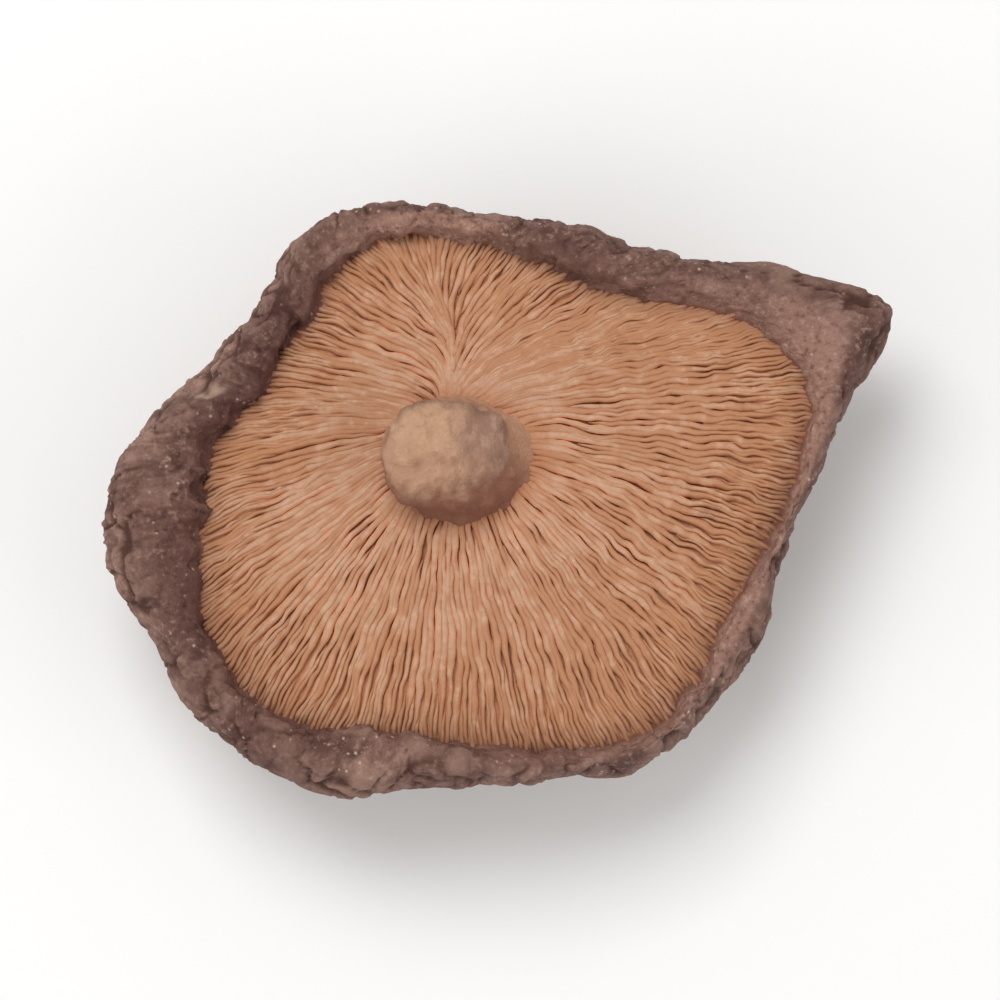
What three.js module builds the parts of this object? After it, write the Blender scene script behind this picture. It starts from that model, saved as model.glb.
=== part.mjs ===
// A dried shiitake mushroom lying on its crown with the gills up.
// It grew as one piece, so cap, gills and stem stub are one closed solid. Millimetres, +Z up.
// The origin is on the surface that it lies on, under the middle of its outline.
import * as THREE from "three";

// Driving dimensions.
const CREST_HEIGHT = 16.6; // the usual height of the rolled margin above the crown
const GILL_HEIGHT = 14.2; // the gill edges, half way from stem to margin
const GROOVE_DEPTH = 1.5; // the groove between the gills' outer ends and the rolled margin
const LIP_OVERHANG = 0.5; // how far the margin's inner lip hangs over that groove
const STEM_RADII = new THREE.Vector2(5.1, 4.2); // the stub is wider along X than along Y
const STEM_FOOT_HEIGHT = 13.2; // where the stub meets the gills
const STEM_FOOT_OFFSET = new THREE.Vector2(0.9, 0.6); // the stub's foot, from the stem's axis
const STEM_TOP_HEIGHT = 20; // the cut end of the stub
const STEM_LEAN = new THREE.Vector2(-2.0, -0.2); // how far the cut end stands off the stub's foot
const REST_SHARE = 0.31; // how much of each radius the flattened crown takes
const CROWN_OFFSET = new THREE.Vector2(3.4, -2.4); // the crown's middle, from the stem's axis

// Outline and rolled margin, every 10 degrees anticlockwise from +X, measured from the stem's axis.
const OUTLINE_RADII = [
  28.0, 30.8, 35.2, 29.0, 24.5, 22.0, 20.8, 20.0, 19.4, 19.6, 20.2, 20.8,
  21.0, 20.2, 18.8, 19.4, 19.8, 22.2, 24.8, 26.0, 26.2, 25.8, 26.0, 26.6,
  26.6, 25.8, 24.6, 24.0, 24.2, 25.0, 26.2, 26.7, 26.6, 26.6, 26.2, 26.6,
];
const MARGIN_WIDTHS = [
  1.8, 3.2, 8.6, 6.0, 5.3, 5.0, 4.2, 3.6, 2.7, 2.6, 2.6, 3.2,
  4.2, 4.8, 4.0, 4.8, 5.2, 6.0, 7.2, 7.8, 6.6, 4.8, 3.8, 4.0,
  4.4, 4.6, 4.2, 3.2, 2.7, 2.4, 2.1, 1.9, 2.4, 2.9, 2.1, 1.8,
];
// Crest heights as a share of CREST_HEIGHT, every 30 degrees.
const CREST_SHARES = [0.9, 0.94, 1.04, 1.02, 0.94, 1.04, 1.12, 1.06, 1.0, 1.05, 0.92, 0.88];

const TURN_STEPS = 90;
const STEPS_PER_SPAN = 2;

// Reads a ring of evenly spaced values at any angle, on a smooth closed curve.
function aroundRing(values, angle) {
  const place = THREE.MathUtils.euclideanModulo(angle / (2 * Math.PI), 1) * values.length;
  const first = Math.floor(place);
  const at = (step) => values[THREE.MathUtils.euclideanModulo(first + step, values.length)];
  const spline = new THREE.SplineCurve([-1, 0, 1, 2].map((step) => new THREE.Vector2(step, at(step))));
  return spline.getPoint((place - first + 1) / 3).y;
}

// The stub's radius at one angle: it is an ellipse in plan.
function stemRadius(angle) {
  return 1 / Math.hypot(Math.cos(angle) / STEM_RADII.x, Math.sin(angle) / STEM_RADII.y);
}

// Half of the mushroom's section at one angle: three runs of [distance from the axis, height].
function crossSection(angle) {
  const rim = aroundRing(OUTLINE_RADII, angle);
  const margin = aroundRing(MARGIN_WIDTHS, angle);
  const crest = CREST_HEIGHT * aroundRing(CREST_SHARES, angle);
  const gillRim = rim - margin;
  const foot = stemRadius(angle);
  const skin = [
    [0, 0],
    [rim * REST_SHARE * 0.5, 0],
    [rim * REST_SHARE, 0],
    [rim * 0.6, crest * 0.12],
    [rim * 0.83, crest * 0.34],
    [rim * 0.965, crest * 0.6],
    [rim, crest * 0.8],
  ];
  const inside = [
    [rim - margin * 0.3, crest * 0.97],
    [rim - margin * 0.65, crest],
    [gillRim, crest - 1.2],
    [gillRim + LIP_OVERHANG, GILL_HEIGHT - GROOVE_DEPTH * 0.6],
    [gillRim - 0.6, GILL_HEIGHT - GROOVE_DEPTH],
    [gillRim - 1.8, GILL_HEIGHT - GROOVE_DEPTH * 0.2],
    [THREE.MathUtils.lerp(foot, gillRim, 0.6), GILL_HEIGHT + 0.3],
    [foot * 1.25, STEM_FOOT_HEIGHT],
  ];
  const stem = [
    [foot, STEM_FOOT_HEIGHT + 2],
    [foot * 0.94, STEM_TOP_HEIGHT - 1.8],
    [foot * 0.78, STEM_TOP_HEIGHT - 0.2],
    [0, STEM_TOP_HEIGHT],
  ];
  return { rim, skin, inside, stem };
}

// A point of the surface: turn runs once round the axis, station from the crown to the cut end.
function surfacePoint(turn, station) {
  const angle = turn * 2 * Math.PI;
  const { rim, skin, inside, stem } = crossSection(angle);
  const points = [...skin, ...inside, ...stem].map((pair) => new THREE.Vector2(...pair));
  const section = new THREE.SplineCurve(points).getPoint(station);
  const distance = Math.max(section.x, 0);
  const height = Math.max(section.y, 0);
  const place = station * (points.length - 1);
  const shift = new THREE.Vector2();
  if (place <= skin.length - 1) {
    shift.copy(CROWN_OFFSET).multiplyScalar(1 - Math.min(distance / rim, 1) ** 2);
  } else if (place >= skin.length + inside.length - 2) {
    const rise = Math.max(height - STEM_FOOT_HEIGHT, 0) / (STEM_TOP_HEIGHT - STEM_FOOT_HEIGHT);
    const reached = Math.min(place - (skin.length + inside.length - 2), 1);
    shift.copy(STEM_FOOT_OFFSET).multiplyScalar(reached).addScaledVector(STEM_LEAN, rise);
  }
  const x = distance * Math.cos(angle) + shift.x;
  const y = distance * Math.sin(angle) + shift.y;
  return new THREE.Vector3(x, y, height);
}

// The whole body: a lathe's rings, with each point moved to the section at its own angle.
function mushroomGeometry() {
  const { skin, inside, stem } = crossSection(0);
  const stations = (skin.length + inside.length + stem.length - 1) * STEPS_PER_SPAN;
  const tube = Array.from({ length: stations + 1 }, (_, i) => new THREE.Vector2(i % stations ? 1 : 0, i));
  const geometry = new THREE.LatheGeometry(tube, TURN_STEPS);
  const position = geometry.getAttribute("position");
  for (let i = 0; i <= TURN_STEPS; i++) {
    for (let j = 0; j <= stations; j++) {
      const point = surfacePoint((i % TURN_STEPS) / TURN_STEPS, j / stations);
      position.setXYZ(i * (stations + 1) + j, point.x, point.y, point.z);
    }
  }
  geometry.computeBoundingBox();
  const { min, max } = geometry.boundingBox;
  geometry.translate(-(min.x + max.x) / 2, -(min.y + max.y) / 2, -min.z);
  geometry.computeVertexNormals();
  return geometry;
}

const mushroom = new THREE.Mesh(
  mushroomGeometry(),
  new THREE.MeshStandardMaterial({ color: 0x8a6a5a, roughness: 0.9, metalness: 0 }),
);
mushroom.name = "mushroom";

const part = new THREE.Group();
part.add(mushroom);

export default part;
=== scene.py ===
# %% [markdown]
# # A dried shiitake mushroom
# The mushroom lies on its crown, so its gills face up. On the real one, cap, gills and stem stub are one
# body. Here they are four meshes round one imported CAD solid: the cap with its skin, the long gills, the
# short gills and the stub. Splitting them keeps each mesh light enough to export without losing detail.
# All lengths below are in millimetres, and `MM` turns them into Blender's metres where a mesh is made.

# %% Load the frame
import math

import bpy
import numpy as np
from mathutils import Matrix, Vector, noise
from mathutils.bvhtree import BVHTree


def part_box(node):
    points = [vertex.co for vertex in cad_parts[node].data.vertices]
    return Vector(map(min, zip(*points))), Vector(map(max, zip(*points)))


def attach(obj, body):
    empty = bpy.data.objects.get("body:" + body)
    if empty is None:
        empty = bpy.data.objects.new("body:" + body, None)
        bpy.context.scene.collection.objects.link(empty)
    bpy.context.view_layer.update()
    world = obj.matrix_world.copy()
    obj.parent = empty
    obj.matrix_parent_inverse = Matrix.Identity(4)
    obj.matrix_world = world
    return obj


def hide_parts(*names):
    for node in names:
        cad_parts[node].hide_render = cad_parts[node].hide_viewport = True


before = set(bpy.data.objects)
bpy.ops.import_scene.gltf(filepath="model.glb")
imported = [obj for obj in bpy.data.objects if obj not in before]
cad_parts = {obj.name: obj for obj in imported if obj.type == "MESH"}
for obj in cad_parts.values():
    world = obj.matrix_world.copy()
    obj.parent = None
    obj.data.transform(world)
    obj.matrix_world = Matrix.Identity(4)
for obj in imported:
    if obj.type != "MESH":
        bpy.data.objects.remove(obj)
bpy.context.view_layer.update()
MM = 0.001
NODE = "mushroom"
node_low, node_high = (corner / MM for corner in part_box(NODE))
print("The CAD solid measures", [round(side, 1) for side in node_high - node_low], "mm")

# %% [markdown]
# ## The driving shape
# A cap that dried in the open isn't round: its margin shrank and rolled inwards by a different amount
# at each angle. A few values round a ring, read through a smooth closed curve, hold that. They are the
# sizes that the CAD solid was made from, measured from the stem's axis. The other way would be to slice
# the CAD mesh, but its flat faces would then show through as ripples in the skin.

# %% Rings round the stem's axis
OUTLINE_RADII = [
    28.0, 30.8, 35.2, 29.0, 24.5, 22.0, 20.8, 20.0, 19.4, 19.6, 20.2, 20.8,
    21.0, 20.2, 18.8, 19.4, 19.8, 22.2, 24.8, 26.0, 26.2, 25.8, 26.0, 26.6,
    26.6, 25.8, 24.6, 24.0, 24.2, 25.0, 26.2, 26.7, 26.6, 26.6, 26.2, 26.6,
]
MARGIN_WIDTHS = [
    1.8, 3.2, 8.6, 6.0, 5.3, 5.0, 4.2, 3.6, 2.7, 2.6, 2.6, 3.2,
    4.2, 4.8, 4.0, 4.8, 5.2, 6.0, 7.2, 7.8, 6.6, 4.8, 3.8, 4.0,
    4.4, 4.6, 4.2, 3.2, 2.7, 2.4, 2.1, 1.9, 2.4, 2.9, 2.1, 1.8,
]
CREST_SHARES = [0.9, 0.94, 1.04, 1.02, 0.94, 1.04, 1.12, 1.06, 1.0, 1.05, 0.92, 0.88]
STEM_RADII = (5.1, 4.2)
STEM_FOOT_OFFSET = np.array([0.9, 0.6])
STEM_LEAN = np.array([-2.0, -0.2])
CROWN_OFFSET = np.array([3.4, -2.4])
REST_SHARE = 0.31

CREST_HEIGHT = 16.6
GILL_HEIGHT = 14.2
STEM_FOOT_HEIGHT = 13.2
STEM_TOP_HEIGHT = node_high.z


def between(a, b, c, d, t):
    """A smooth curve from b to c, read t of the way along, with a before it and d after it."""
    return b + 0.5 * t * (c - a + t * (2 * a - 5 * b + 4 * c - d + t * (3 * (b - c) + d - a)))


def around(ring, angle):
    """Reads a ring of evenly spaced values at any angle, on a smooth closed curve."""
    ring = np.asarray(ring, float)
    place = (angle / math.tau) % 1.0 * len(ring)
    first = np.floor(place).astype(int)
    t = place - first
    return between(*(ring[(first + step) % len(ring)] for step in (-1, 0, 1, 2)), t)


def stem_radius(angle):
    """The stem's outline, an ellipse."""
    return 1 / np.hypot(np.cos(angle) / STEM_RADII[0], np.sin(angle) / STEM_RADII[1])


def gill_rim(angle):
    """How far the gills reach from the stem's axis."""
    return around(OUTLINE_RADII, angle) - around(MARGIN_WIDTHS, angle)


GILL_RISE = [-0.3, -0.1, 0.05, 0.2, 0.3, 0.35, 0.3, 0.1]  # the edges' height from stem to margin
BOWL_SHARE = 0.55  # how much of the crest's rise and fall the gills follow


def gill_edge_height(angle, share):
    """The gills' edges follow the cap's bowl: they stand higher where the margin does."""
    bowl = BOWL_SHARE * CREST_HEIGHT * (around(CREST_SHARES, angle) - 1) * np.clip(share, 0, 1) ** 2
    return GILL_HEIGHT + bowl + np.interp(share, np.linspace(0, 1, len(GILL_RISE)), GILL_RISE)


def flesh_depth(share):
    """How far the flesh between the gills lies below their edges."""
    return np.interp(share, (0, 1), (0.24, 0.58))


circle = np.linspace(0, math.tau, 720, endpoint=False)
outline = around(OUTLINE_RADII, circle)[:, None] * np.stack([np.cos(circle), np.sin(circle)], axis=-1)
outline_middle = (outline.min(axis=0) + outline.max(axis=0)) / 2
node_middle = np.array((node_low + node_high) / 2)[:2]
AXIS = node_middle - outline_middle  # the stem's axis in the frame
print("The stem's axis stands at", AXIS.round(2), "mm")
print("The outline measures", np.ptp(outline, axis=0).round(1), "mm")

# %% [markdown]
# ## Tools for grown surfaces
# The cap and the stub are grids swept once round the axis, then pushed in and out along their own
# normals by noise. Noise read at the point in space has no seam. Noise read at (angle, slow height)
# makes creases that run outwards, as skin does when the cap under it shrinks. A displacement modifier
# could do the first kind but not the second, so both are worked out here, with Blender's own noise.

# %% Noise
def roughness(points, size, octaves=3, seed=0.0):
    """Soft noise between about -1 and 1 at each point, with features of the given size."""
    shift = Vector((seed * 7.31, seed * 3.17, seed * 5.53))
    flat = (points / size).reshape(-1, 3).tolist()
    values = [noise.fractal(Vector(p) + shift, 1.0, 2.0, octaves) for p in flat]
    return np.array(values).reshape(points.shape[:-1])


def layered(points, layers):
    """The sum of soft noises, each given as (depth, size, octaves, seed)."""
    return sum(depth * roughness(points, size, octaves, seed) for depth, size, octaves, seed in layers)


def noise_vectors(points, size, seeds):
    """A soft random shift of each point, from one noise for each axis."""
    return np.stack([roughness(points, size, 2, seed) for seed in seeds], axis=-1)


def plates_of(points, size, seed=0.0):
    """Distance in millimetres from the border between irregular plates, and a random tone for each."""
    shift = Vector((seed * 4.71, seed * 8.13, seed * 2.39))
    gaps, tones = [], []
    for p in (points / size).reshape(-1, 3).tolist():
        distances, centres = noise.voronoi(Vector(p) + shift)
        gaps.append(distances[1] - distances[0])
        tones.append(noise.cell(centres[0] * 31.7))
    shape = points.shape[:-1]
    return np.array(gaps).reshape(shape) * size, np.array(tones).reshape(shape)


def crease(value, width):
    """1 on the line where the value is zero, falling to 0 at the given width."""
    return np.exp(-((value / width) ** 2))


def smooth_step(value, start, end):
    """0 before the start, 1 past the end, and a soft ramp between them."""
    t = np.clip((value - start) / (end - start), 0, 1)
    return t * t * (3 - 2 * t)


def around_axis(angle, radius):
    """Points on a circle, where noise can be read without a seam."""
    return np.stack([radius * np.cos(angle), radius * np.sin(angle), 0 * angle], axis=-1)


probe = roughness(around_axis(circle, 10), 2.0)
print("Noise round a ring runs from", probe.min().round(2), "to", probe.max().round(2))

# %% Sections and grids
def stack_knots(knots, angle):
    """Knots as one array: knot, angle, then distance and height."""
    spread_out = [[np.broadcast_to(value, angle.shape) for value in knot] for knot in knots]
    return np.array(spread_out).transpose(0, 2, 1)


def spline_through(knots, stations):
    """Runs a smooth curve through the first axis of knots, read at stations from 0 to 1."""
    last = len(knots) - 1
    place = np.clip(stations, 0, 1) * last
    first = np.minimum(np.floor(place).astype(int), last - 1)
    t = (place - first).reshape(-1, *[1] * (knots.ndim - 1))
    return between(*(knots[np.clip(first + step, 0, last)] for step in (-1, 0, 1, 2)), t)


def even_stations(knots, count, start=0.0, end=1.0):
    """Stations that lie at even steps along the mean section, between two of its stations."""
    fine = np.linspace(start, end, 2000)
    mean_section = spline_through(knots.mean(axis=1), fine)
    length = np.concatenate([[0], np.cumsum(np.linalg.norm(np.diff(mean_section, axis=0), axis=1))])
    return np.interp(np.linspace(0, 1, count) * length[-1], length, fine)


def grid_normals(points):
    """Outward normals of a grid whose rows run outwards and whose columns run round the axis."""
    along = np.gradient(points, axis=0)
    across = np.roll(points, -1, axis=1) - np.roll(points, 1, axis=1)
    normals = np.cross(across, along)
    normals /= np.maximum(np.linalg.norm(normals, axis=-1, keepdims=True), 1e-12)
    normals[0] = normals[1].mean(axis=0)
    normals[-1] = normals[-2].mean(axis=0)
    return normals / np.linalg.norm(normals, axis=-1, keepdims=True)


def quads_between(at):
    """Quads between the rows of a grid of point numbers, closed round the columns."""
    after = np.roll(at, -1, axis=1)
    return np.stack([at[:-1], after[:-1], after[1:], at[1:]], axis=-1).reshape(-1, 4).tolist()


def closed_grid(grid):
    """Points and faces of a closed skin: the grid's first and last rows each shrink to one point."""
    rows, columns = grid.shape[:2]
    at = 1 + np.arange((rows - 2) * columns).reshape(rows - 2, columns)
    after = np.roll(at, -1, axis=1)
    points = grid_values(grid)
    first_fan = np.stack([np.zeros(columns, int), after[0], at[0]], axis=-1)
    last_fan = np.stack([np.full(columns, len(points) - 1), at[-1], after[-1]], axis=-1)
    return points, [*quads_between(at), *first_fan.tolist(), *last_fan.tolist()]


def grid_values(values):
    """Values of a grid in the order of closed_grid's points."""
    width = values.shape[2:]
    first, last = values[:1].mean(axis=1), values[-1:].mean(axis=1)
    return np.concatenate([first, values[1:-1].reshape(-1, *width), last])


# %% Meshes
def make_piece(name, points, faces, **fields):
    """A smooth mesh from points in millimetres round the stem's axis, with values at each point."""
    mesh = bpy.data.meshes.new(name)
    placed = (points + [*AXIS, 0]) * MM
    mesh.from_pydata(placed.tolist(), [], faces)
    mesh.shade_smooth()
    for field, values in fields.items():
        kind, key = ("FLOAT", "value") if values.ndim == 1 else ("FLOAT_VECTOR", "vector")
        held = mesh.attributes.new(field, kind, "POINT")
        held.data.foreach_set(key, values.astype(np.float32).ravel())
    piece = bpy.data.objects.new(name, mesh)
    bpy.context.scene.collection.objects.link(piece)
    triangles = sum(len(face) - 2 for face in faces)
    print(f"{name}: {len(points)} points, {triangles} triangles")
    return piece


# %% [markdown]
# ## The cap
# The cap's skin starts at the middle of the crown, runs out and up to the rim, rolls inwards over the
# crest of the margin, and drops down its inner side. From there the flesh that holds the gills runs in
# under the stem. It could be sculpted by hand, but one section with fifteen knots gives all of that and
# is easy to change later. The swept grid closes on itself, so the mesh is a solid.

# %% The section at every angle
CAP_COLUMNS = 640
SKIN_ROWS = 134
FLESH_ROWS = 15  # hidden by the gills, so it needs few
RIM_KNOT, CREST_KNOT, LIP_KNOT = 6, 8, 9
NOISE_RING = 22  # the margin's noise is read on a circle of this radius
RAGGED_SHARE = 0.14  # of the margin's width
WAVE_HEIGHT = 0.7
NICK_ANGLE = math.radians(163)  # a bit of the margin is chipped off here
NICK_WIDTH = math.radians(3.2)
NICK_DEPTH = 0.9


def cap_section(angle):
    """Knots of the section, from the crown's middle to the flesh under the stem, as (distance, height)."""
    rim = around(OUTLINE_RADII, angle)
    ragged = roughness(around_axis(angle, NOISE_RING), 2.6, 3, seed=40)
    wavy = roughness(around_axis(angle, NOISE_RING), 6.5, 2, seed=41)
    margin = around(MARGIN_WIDTHS, angle) * (1 + RAGGED_SHARE * ragged)
    crest = CREST_HEIGHT * around(CREST_SHARES, angle) + WAVE_HEIGHT * wavy
    crest = crest - NICK_DEPTH * crease(angle - NICK_ANGLE, NICK_WIDTH)
    edge = rim - margin
    foot = stem_radius(angle)
    rim_flesh, inner_flesh, stem_flesh = (
        gill_edge_height(angle, share) - flesh_depth(share) for share in (0.96, 0.85, 0)
    )
    return stack_knots([
        (0, 0),
        (rim * REST_SHARE * 0.5, 0),
        (rim * REST_SHARE, 0),
        (rim * 0.6, crest * 0.12),
        (rim * 0.83, crest * 0.34),
        (rim * 0.965, crest * 0.6),
        (rim, crest * 0.8),
        (rim - margin * 0.24, crest * 0.98),
        (rim - margin * 0.55, crest),
        (rim - margin * 0.86, crest * 0.45 + (rim_flesh + 0.8) * 0.55 + 0.3),
        (edge + 0.1, rim_flesh + 0.55),
        (edge - 0.9, rim_flesh),
        (edge - 3.0, inner_flesh),
        (foot * 1.2, stem_flesh - 0.2),
        (0, stem_flesh - 0.2),
    ], angle)


cap_angles = np.linspace(0, math.tau, CAP_COLUMNS, endpoint=False)
cap_knots = cap_section(cap_angles)
last_knot = len(cap_knots) - 1
skin_end = (LIP_KNOT + 2) / last_knot
cap_stations = np.concatenate([
    even_stations(cap_knots, SKIN_ROWS, 0, skin_end),
    even_stations(cap_knots, FLESH_ROWS, skin_end, 1)[1:],
])
cap_rows = spline_through(cap_knots, cap_stations)
cap_place = np.broadcast_to((cap_stations * last_knot)[:, None], cap_rows.shape[:2])
distance, height = np.maximum(cap_rows[..., 0], 0), np.maximum(cap_rows[..., 1], 0)
flat = distance[..., None] * np.stack([np.cos(cap_angles), np.sin(cap_angles)], axis=-1)
inward = 1 - np.minimum(distance / around(OUTLINE_RADII, cap_angles), 1) ** 2
flat += np.where(cap_place <= RIM_KNOT, inward, 0)[..., None] * CROWN_OFFSET
cap_grid = np.concatenate([flat, height[..., None]], axis=-1)
print("The plain cap spans", np.ptp(cap_grid.reshape(-1, 3), axis=0).round(1), "mm")

# %% [markdown]
# ## Folds, wrinkles and cracks in the skin
# The skin shrank less than the flesh under it. So it buckled into broad folds near the margin, a net of
# wrinkles all over, and short cracks that cut the outer half into plates. Each is one kind of noise:
# soft noise for folds, its zero lines for wrinkles, and the borders of irregular cells for cracks.
# Points are first shifted by more noise, so that no line runs straight. A bump in the material would be
# quicker, but the rim's outline would stay smooth.

# %% The skin's relief
FOLD_DEPTH = 0.85
PLEAT_DEPTH = 0.4
WRINKLE_DEPTH = 0.34
FINE_WRINKLE_DEPTH = 0.13
CRACK_DEPTH = 0.36
CRUMPLE_DEPTH = 0.12
FLESH_CALM = 0.75  # how much of the relief goes away under the gills

outwards = cap_place / RIM_KNOT  # 0 at the crown, 1 at the rim, and more over the roll
inside = smooth_step(cap_place, LIP_KNOT + 0.9, LIP_KNOT + 2.0)
rolled = smooth_step(cap_place, RIM_KNOT, CREST_KNOT) * (1 - inside)
near_rim = smooth_step(outwards, 0.45, 0.95) * (1 - inside)
around_cap = np.broadcast_to(around_axis(cap_angles, 8)[None], cap_grid.shape)
unrolled = around_cap + cap_place[..., None] * [0, 0, 0.55]
warp = noise_vectors(cap_grid, 3.2, seeds=(1, 2, 3))

folds = roughness(cap_grid, 9.5, 2, seed=4)
pleats = roughness(unrolled + warp * 0.25, 1.2, 2, seed=5)
wrinkles = crease(roughness(cap_grid + warp * 1.4, 4.2, 2, seed=6), 0.1)
wrinkles *= 0.2 + 0.8 * smooth_step(roughness(cap_grid, 7, 1, seed=7), -0.3, 0.35)
fine_wrinkles = crease(roughness(cap_grid + warp * 0.9, 1.9, 2, seed=8), 0.16)
crumple = roughness(cap_grid * [1, 1, 0.8], 1.6, 3, seed=9)

plate_gaps, plate_tones = plates_of(cap_grid + warp * 1.3, 4.4, seed=1)
plates = crease(plate_gaps, 0.33)
radial = crease(roughness(unrolled + warp * 0.14, 0.95, 1, seed=10), 0.06)
cracked = smooth_step(outwards, 0.3, 0.85) * (1 - inside) * (1 - 0.45 * rolled)
patchy = smooth_step(roughness(cap_grid, 6, 1, seed=11), -0.3, 0.15)
cracks = np.maximum(plates * patchy, radial * (1 - 0.6 * patchy)) * cracked

relief = (
    FOLD_DEPTH * folds * (0.3 + 0.7 * near_rim) * (1 - 0.3 * rolled)
    + PLEAT_DEPTH * pleats * near_rim
    - WRINKLE_DEPTH * wrinkles * (0.4 + 0.6 * near_rim)
    - FINE_WRINKLE_DEPTH * fine_wrinkles
    - CRACK_DEPTH * cracks
    + CRUMPLE_DEPTH * crumple
)
relief *= 1 - FLESH_CALM * inside
skin_grid = cap_grid + grid_normals(cap_grid) * relief[..., None]
skin_grid[..., 2] = np.maximum(skin_grid[..., 2], 0)
print("The skin's relief runs from", relief.min().round(2), "to", relief.max().round(2), "mm")

# %% The cap's mesh
# Where the margin's inner side shows pale, every 30 degrees.
PALE_LIP = [0.75, 0.6, 0.3, 1.0, 0.4, 0.0, 0.0, 0.1, 0.3, 0.4, 0.5, 0.75]

bare_lip = smooth_step(cap_place, CREST_KNOT - 1.0, CREST_KNOT + 0.3) * (1 - inside)
bare_lip = bare_lip * np.clip(around(PALE_LIP, cap_angles), 0, 1)
nick_angles = cap_angles - NICK_ANGLE + 0.05 * roughness(cap_grid, 1.6, 2, seed=12)
nick = crease(nick_angles, 0.75 * NICK_WIDTH) * crease(cap_place - CREST_KNOT + 0.6, 0.75)
cap_fields = {
    # Cracks and wrinkles, for painted shade in the skin's colour.
    "crease_shade": np.clip(cracks + 0.55 * wrinkles + 0.2 * fine_wrinkles, 0, 1),
    # Raised relief, for a painted highlight in the skin's colour.
    "bulge": np.clip(0.5 + relief * 0.45, 0, 1),
    "outwards": outwards,
    "inside": inside,
    "bare": bare_lip,
    "nick": nick,
    "plate": plate_tones,
    "unrolled": unrolled,
}
cap_fields = {name: grid_values(values) for name, values in cap_fields.items()}
cap = make_piece("cap", *closed_grid(skin_grid), **cap_fields)

# %% [markdown]
# ## The gills
# A gill is a thin blade that hangs from the flesh. Gills that run the whole way sit about a pitch apart
# at the stem, so shorter ones start between them further out, to keep the same pitch at the margin. In
# drying they lean, bunch and tear, each one close to what its neighbours do. A striped bump would look
# flat from the side, so every blade is real here: a closed ribbon with its root in the flesh.
#
# On this cap the gills don't all point at the stem. Above it they part to both sides, like hair. Lines
# of flow do that: the stem is a spring that water runs out of evenly, and the parting is a row of small
# springs. A gill starts at the margin and is traced against the flow until it meets the stem.

# %% Which way a gill runs
PARTING_LENGTH = 17.5
PARTING_TURN = math.radians(98)
PARTING_STRENGTH = 1.1  # against 1 for the stem
PARTING_LINE = np.array([math.cos(PARTING_TURN), math.sin(PARTING_TURN)])
PARTING_LEFT = np.array([-PARTING_LINE[1], PARTING_LINE[0]])
PARTING_BEND, PARTING_WAVE = 1.0, 2.3
PARTING_WIDTH = 3.4  # within it the gills run along the parting and fan out


def across_parting(points):
    """How far along the parting, and to its left, each point lies. The parting isn't quite straight."""
    from_stem = points - STEM_FOOT_OFFSET
    ahead = from_stem @ PARTING_LINE
    return ahead, from_stem @ PARTING_LEFT - PARTING_BEND * np.sin(ahead / PARTING_WAVE)


def gill_direction(points):
    """Unit vectors outwards along the gills."""
    ahead, left = across_parting(points)
    beyond = ahead - PARTING_LENGTH
    stem_pull = 1 / np.maximum(ahead**2 + left**2, 0.01)
    along = np.log(np.hypot(ahead, left) / np.maximum(np.hypot(beyond, left), 0.01))
    sideways = np.arctan2(left, beyond) - np.arctan2(left, ahead)
    sideways *= np.abs(left) / np.hypot(left, PARTING_WIDTH)
    along = ahead * stem_pull + PARTING_STRENGTH / PARTING_LENGTH * along
    sideways = left * stem_pull + PARTING_STRENGTH / PARTING_LENGTH * sideways
    flow = along[..., None] * PARTING_LINE + sideways[..., None] * PARTING_LEFT
    return flow / np.linalg.norm(flow, axis=-1, keepdims=True)


def place_of(points):
    """Angle round the stem's axis, and the share of the way from the stem's foot to the margin."""
    angle = np.arctan2(points[..., 1], points[..., 0])
    offset = STEM_FOOT_OFFSET[0] * np.cos(angle) + STEM_FOOT_OFFSET[1] * np.sin(angle)
    foot = stem_radius(angle) + offset
    return angle, (np.hypot(points[..., 0], points[..., 1]) - foot) / (gill_rim(angle) - foot)


above_stem = np.array([[0.0, 9.0], [4.0, 9.0]])
print("Above the stem the gills point along", gill_direction(above_stem).round(2).tolist())

# %% Gills traced from the margin inwards
RIM_PITCH = 0.37
BLADE_STEP = 0.25
OVERRUN = 1.3  # how far a gill may climb the margin's inner side
UNEVEN = 0.16  # how far a gill may stand from its even place, as a share of the pitch
LEVELS = 3  # every eighth gill may reach the stem
TRACE_STEPS = 140
STEM_OVERLAP = 0.03  # the share of its way that a gill goes on into the stem's foot
rng = np.random.default_rng(11)

fine_angles = np.linspace(0, math.tau, 2000)
fine_reach = gill_rim(fine_angles) + OVERRUN
fine_rim = fine_reach[:, None] * np.stack([np.cos(fine_angles), np.sin(fine_angles)], axis=-1)
rim_length = np.concatenate([[0], np.cumsum(np.linalg.norm(np.diff(fine_rim, axis=0), axis=1))])
gill_count = 2**LEVELS * round(rim_length[-1] / RIM_PITCH / 2**LEVELS)
along_rim = (np.arange(gill_count) + rng.uniform(-UNEVEN, UNEVEN, gill_count)) / gill_count % 1.0
starts = [np.interp(along_rim * rim_length[-1], rim_length, axis) for axis in fine_rim.T]
traced = [np.stack(starts, axis=-1)]
for _ in range(TRACE_STEPS):
    traced.append(traced[-1] - BLADE_STEP * gill_direction(traced[-1]))
gill_lines = np.stack(traced, axis=1)
reached = place_of(gill_lines)[1] < -STEM_OVERLAP
line_ends = np.where(reached.any(axis=1), reached.argmax(axis=1), TRACE_STEPS)
mean_length = line_ends.mean() * BLADE_STEP
print(gill_count, "gills are", mean_length.round(1), "mm long on average, before thinning out")

# %% The room between gills
STEM_PITCH = 0.29
LEAST_PITCH, MOST_PITCH = 0.26, 0.58
PITCH_RUN = 9  # steps over which the pitch is evened out
beside = np.roll(gill_lines, -1, axis=0) - np.roll(gill_lines, 1, axis=0)
room = np.linalg.norm(beside, axis=-1) / 2


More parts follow.
